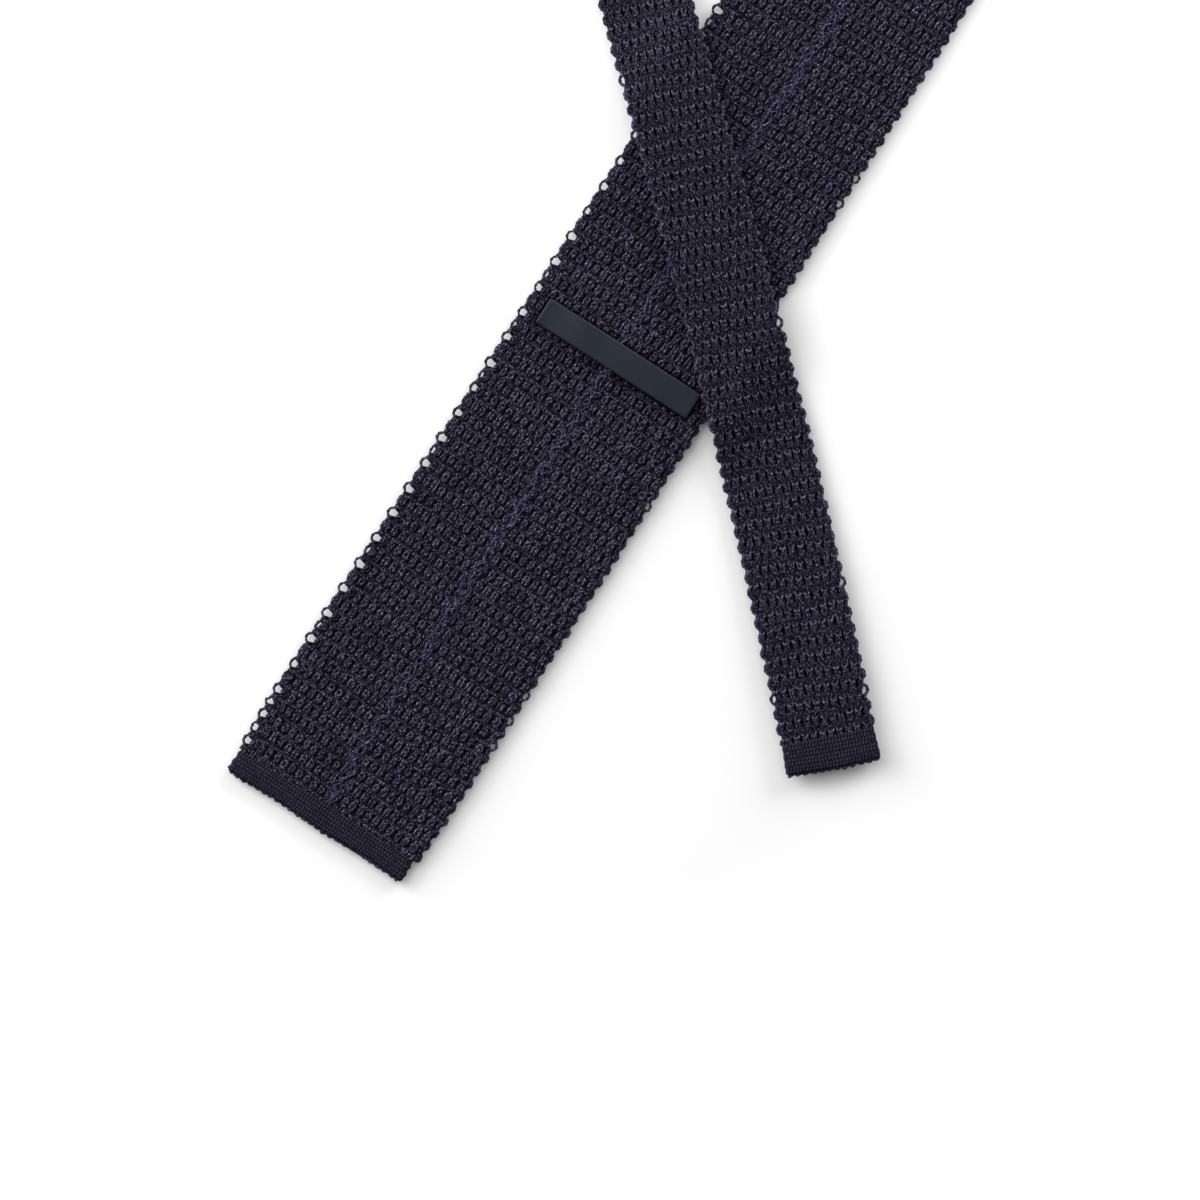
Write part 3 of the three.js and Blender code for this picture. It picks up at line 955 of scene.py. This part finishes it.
def seam_strands(first_row, last_row, per_row, sides, strands):
    """Thin strands that cross one another over the two edges of the knit, each with a wandering swing, and
    dip in and out of it as they go."""
    row = np.linspace(first_row + 0.02, last_row - 0.02, int((last_row - first_row) * per_row) + 1)
    along = along_at(row)
    shells = []
    for number, (swing, turns, lag, thick) in enumerate(SEAM_STRANDS[:strands]):
        turn = 2 * np.pi * row * turns + lag
        turn = turn + 1.3 * np.sin(row * 0.61 + 2 * number) + 0.6 * np.sin(row * 1.73)
        across = swing * np.sin(turn) * (0.8 + 0.3 * np.sin(row * 0.9 + number)) - 0.15
        high = 2.18 + 0.36 * np.cos(2 * turn + number) + 0.20 * np.sin(row * 2.2 + number)
        radius = thick * (1 + 0.22 * np.sin(row * 5.1 + number))
        shells.append(tubes(along[None], across[None], high[None], radius[None], sides))
    return shells


seam_blade = make_piece("seam_blade", seam_strands(FIRST_ROW, SEEN_ROW, 9, 5, 5), SEAM, "back_seam")
seam_neck = make_piece("seam_neck", seam_strands(SEEN_ROW, LAST_ROW, 5, 4, 2), SEAM, "back_seam")


# The hems

# A stitch of the hems and a scallop of their ends, in millimetres
HEM_STITCH_WIDE = 0.93
HEM_STITCH_DEEP = 1.10
SCALLOP = 2.24
# The hem from its mouth to its end: the share of its depth, of the tie's width there, and of the thickness
HEM_SECTIONS = ([0, 0.6, 0.9, 1], [0.985, 0.975, 0.97, 0.95], [1, 0.95, 0.85, 0.55])


def hem_relief(across, depth):
    """Fine dense stitches: small rounded cells in rows, every second row shifted by half a stitch."""
    row = np.floor(depth / HEM_STITCH_DEEP)
    x = across / HEM_STITCH_WIDE + 0.5 * np.mod(row, 2)
    bump = np.abs(np.sin(np.pi * x)) ** 0.8 * np.abs(np.sin(np.pi * depth / HEM_STITCH_DEEP)) ** 0.7
    return 0.15 + 0.85 * bump * (0.7 + 0.3 * scatter(row, np.floor(x), 11))


def hem_shell(mouth, depth, way, flare, top_steps, low_steps, depth_steps):
    """A flat pocket: a rounded oblong section carried from the mouth to the cast-off edge, where it flares a
    little and thins. The relief of stitches lowers both faces, and the cast-off edge runs in small round
    scallops."""
    t = np.linspace(0, 1, depth_steps + 1)[:, None]
    wide = half_width(mouth) * np.interp(t, HEM_SECTIONS[0], HEM_SECTIONS[1]) + flare * t
    thick = THICKNESS * np.interp(t, HEM_SECTIONS[0], HEM_SECTIONS[2])
    bend = np.linspace(0, np.pi, 7)[1:-1]
    top = np.linspace(-1, 1, top_steps + 1) * (wide - thick / 2)
    low = np.linspace(1, -1, low_steps + 1) * (wide - thick / 2)
    right = wide - thick / 2 + thick / 2 * np.sin(bend)
    x = np.concatenate([top, right, low, -right], axis=1)
    z = np.concatenate([thick / 2 + 0 * top, thick / 2 * np.cos(bend), -thick / 2 + 0 * low,
                        -thick / 2 * np.cos(bend)], axis=1)
    down = t * depth + 0 * x
    rise = hem_relief(x, down)
    z = z * (1 - 0.40 * (1 - rise) / FOLD_RADIUS)
    if way > 0:
        z = -z
    knot = np.abs(np.sin(np.pi * x / SCALLOP + 0.8 * np.sin(x * 0.23)))
    size = 0.45 + 0.55 * scatter(np.floor(x / SCALLOP), way, 13)
    scallop = (0.9 * knot ** 0.6 * size - 0.65) * smooth((down - depth + 1.5) / 1.5)
    waver = 0.25 * np.sin(x * 0.21 + 1.3) * smooth(down / depth)
    edge_wave = 1 + 0.006 * np.sin(down * 2.6 + 2 * np.sign(x))
    points = placed(mouth + way * (down + scallop + waver), x * edge_wave, FOLD_RADIUS + z)
    # The material paints shade on the low stitches and a faint painted highlight on the high ones from these
    # values
    stitch = np.stack([rise, scatter(np.floor(down), np.floor(x), 12), 0.30 * rise ** 3], axis=-1)
    uv = np.stack([x / HEM_STITCH_WIDE, down / HEM_STITCH_DEEP], axis=-1)
    return carried(points[None], uv, stitch)


def cast_off(end, wide, way):
    """The cast-off edge: two strands that twist round each other along the end of the hem, in small
    arches."""
    across = np.linspace(-wide, wide, int(2 * wide / 0.22))
    shells = []
    for strand in (0, 1):
        turn = 2 * np.pi * across / SCALLOP + strand * np.pi + 0.5 * np.sin(across * 0.7)
        size = 0.7 + 0.6 * scatter(np.floor(across / SCALLOP + 0.5), strand, 14)
        arch = 0.95 * np.abs(np.sin(np.pi * across / SCALLOP + 0.25)) ** 0.8 * size
        along = end + way * (arch - 1.0 + 0.25 * np.sin(across * 0.21 + 1.3) + 0.16 * np.sin(turn))
        high = FOLD_RADIUS + 0.30 * np.cos(turn)
        shells.append(tubes(along[None], across[None], high[None], 0.42 + 0.08 * np.sin(turn[None]), 6))
    return shells


blade_mouth = TUBE_START + 0.25
tail_mouth = TUBE_END - 0.25
blade_hem = hem_shell(blade_mouth, blade_mouth, -1, 0.9, 240, 80, 30)
tail_hem = hem_shell(tail_mouth, TIE_LENGTH - tail_mouth, 1, 0.7, 108, 40, 36)
blade_end = cast_off(0, 0.955 * half_width(0), -1)
tail_end = cast_off(TIE_LENGTH, 0.97 * half_width(TIE_LENGTH), 1)
blade_hem_piece = make_piece("blade_hem_knit", [blade_hem] + blade_end, HEM, "blade_hem")
tail_hem_piece = make_piece("tail_hem_knit", [tail_hem] + tail_end, HEM, "tail_hem")


# The ribbon


def keeper_shell():
    """A thin strip carried across the back of the wide end along the CAD's rise: flat at both ends and raised
    by a smooth hump between them. Its section is a thin oblong with a slightly thicker woven edge."""
    start, to, half = keeper_span()
    t = np.linspace(-1, 1, 101)[:, None]
    w = np.linspace(0, 1, 15)[None, :]
    low = THICKNESS + CLEARANCE + KEEPER_RISE * smooth((0.90 - np.abs(t)) / 0.45)
    low = low + 0.06 * np.sin(t * 9 + 0.5) * (1 - t ** 8)
    selvedge = np.exp(-((np.minimum(w, 1 - w) - 0.035) / 0.03) ** 2)
    top = low + RIBBON_WALL + 0.08 * selvedge + 0.10 * np.sin(np.pi * w)
    along = start + (to - start) * np.concatenate([w, w[:, ::-1]], axis=1) + 0 * t
    high = np.concatenate([top, low + 0 * w], axis=1)
    points = placed(along, KEEPER_OFFSET + t * half, high)
    uv = np.stack(np.broadcast_arrays(t * half, along - start), axis=-1)
    return carried(points[None], uv, np.zeros(points.shape))


def keeper_threads():
    """The running stitches that hold the ribbon's two ends: a thread that dips in and out of it at each
    end."""
    start, to, half = keeper_span()
    along = np.linspace(start + 0.5, to - 0.5, 43)
    bob = 0.16 * np.sin(2 * np.pi * (along - start) / 1.5)
    shells = []
    for side in (-1, 1):
        across = KEEPER_OFFSET + side * (half - 1.0) + 0.08 * np.sin(along * 1.9)
        high = THICKNESS + CLEARANCE + RIBBON_WALL + 0.02 + bob
        shells.append(tubes(along[None], across[None], high[None], 0.13, 5))
    return shells


make_piece("keeper_ribbon", [keeper_shell()], SATIN, "keeper_loop")
make_piece("keeper_threads", keeper_threads(), SATIN, "keeper_loop")


# Floor, lights and camera

FLOOR_SIZE = 8.0
FLOOR_LEVEL = -0.0003
FLOOR_COLOUR = (0.835, 0.835, 0.835, 1)
WHITE = (1, 1, 1, 1)
BACKDROP = 0.8
AROUND = 0.10
SENSOR = 36

# Each light's place from the middle of the photograph, its side, both in metres, and its power in watts
LIGHTS = {
    "key": ((-1.35, 0.75, 1.15), 1.8, 30),
    "top": ((0.0, 1.55, 1.10), 1.8, 11),
    "low_left": ((-1.35, 0.85, 0.48), 1.0, 27),
    "low_right": ((1.15, 1.25, 0.52), 1.0, 27),
    "overhead": ((0.3, 0.2, 2.2), 1.6, 9),
}

view_centre = Vector((VIEW_CENTRE[0] * MM, VIEW_CENTRE[1] * MM, 0))


def make_floor():
    """A plain pale surface. Away from the middle of the photograph, where the lights fall off, it glows a
    little so that it stays pale: from 0.08 m to 0.28 m one share of the glow comes in, and from 0.5 m to 2.2
    m the other."""
    material, tree, shader = principled("pale_floor", {
        "Base Color": FLOOR_COLOUR,
        "Roughness": 0.9,
        "Specular IOR Level": 0.1,
        "Emission Color": WHITE,
    })
    far = add_node(tree, "ShaderNodeVectorMath", operation="DISTANCE")
    far.inputs[1].default_value = view_centre
    tree.links.new(tree.nodes.new("ShaderNodeTexCoord").outputs["Object"], far.inputs[0])
    inner = times(tree, minus(tree, far.outputs["Value"], 0.08), 5.0, True)
    outer = times(tree, minus(tree, far.outputs["Value"], 0.5), 0.6, True)
    glow = plus(tree, times(tree, inner, 0.24), times(tree, outer, 0.60))
    tree.links.new(glow, shader.inputs["Emission Strength"])
    mesh = bpy.data.meshes.new("floor")
    quarters = ((-1, -1), (1, -1), (1, 1), (-1, 1))
    corners = [(x * FLOOR_SIZE, y * FLOOR_SIZE, FLOOR_LEVEL) for x, y in quarters]
    mesh.from_pydata(corners, [], [(0, 1, 2, 3)])
    mesh.materials.append(material)
    floor = bpy.data.objects.new("floor", mesh)
    bpy.context.scene.collection.objects.link(floor)


def add_light(name, place, size, power):
    """A square soft light that faces the photographed part of the tie."""
    light = bpy.data.lights.new(name, "AREA")
    light.size = size
    light.energy = power
    lamp = bpy.data.objects.new(name, light)
    lamp.location = view_centre + Vector(place)
    lamp.rotation_euler = (-Vector(place)).to_track_quat("-Z", "Y").to_euler()
    bpy.context.scene.collection.objects.link(lamp)


def make_world():
    """A dim even light all round, and a pale backdrop for the camera alone."""
    world = bpy.data.worlds.new("studio")
    world.use_nodes = True
    tree = world.node_tree
    background = tree.nodes["Background"]
    background.inputs["Color"].default_value = WHITE
    seen = tree.nodes.new("ShaderNodeLightPath").outputs["Is Camera Ray"]
    strength = plus(tree, times(tree, seen, BACKDROP - AROUND), AROUND)
    tree.links.new(strength, background.inputs["Strength"])
    bpy.context.scene.world = world


def make_camera():
    """Looks straight down on the photograph's frame through a long lens."""
    camera = bpy.data.cameras.new("camera")
    camera.sensor_width = SENSOR
    camera.lens = camera.sensor_width * CAMERA_HEIGHT / (PIXEL * FRAME_PIXELS * MM)
    camera.clip_end = 20
    holder = bpy.data.objects.new("camera", camera)
    holder.location = view_centre + Vector((0, 0, CAMERA_HEIGHT))
    bpy.context.scene.collection.objects.link(holder)
    bpy.context.scene.camera = holder


make_floor()
for name, (place, size, power) in LIGHTS.items():
    add_light(name, place, size, power)
make_world()
make_camera()
bpy.context.scene.view_settings.view_transform = "Standard"
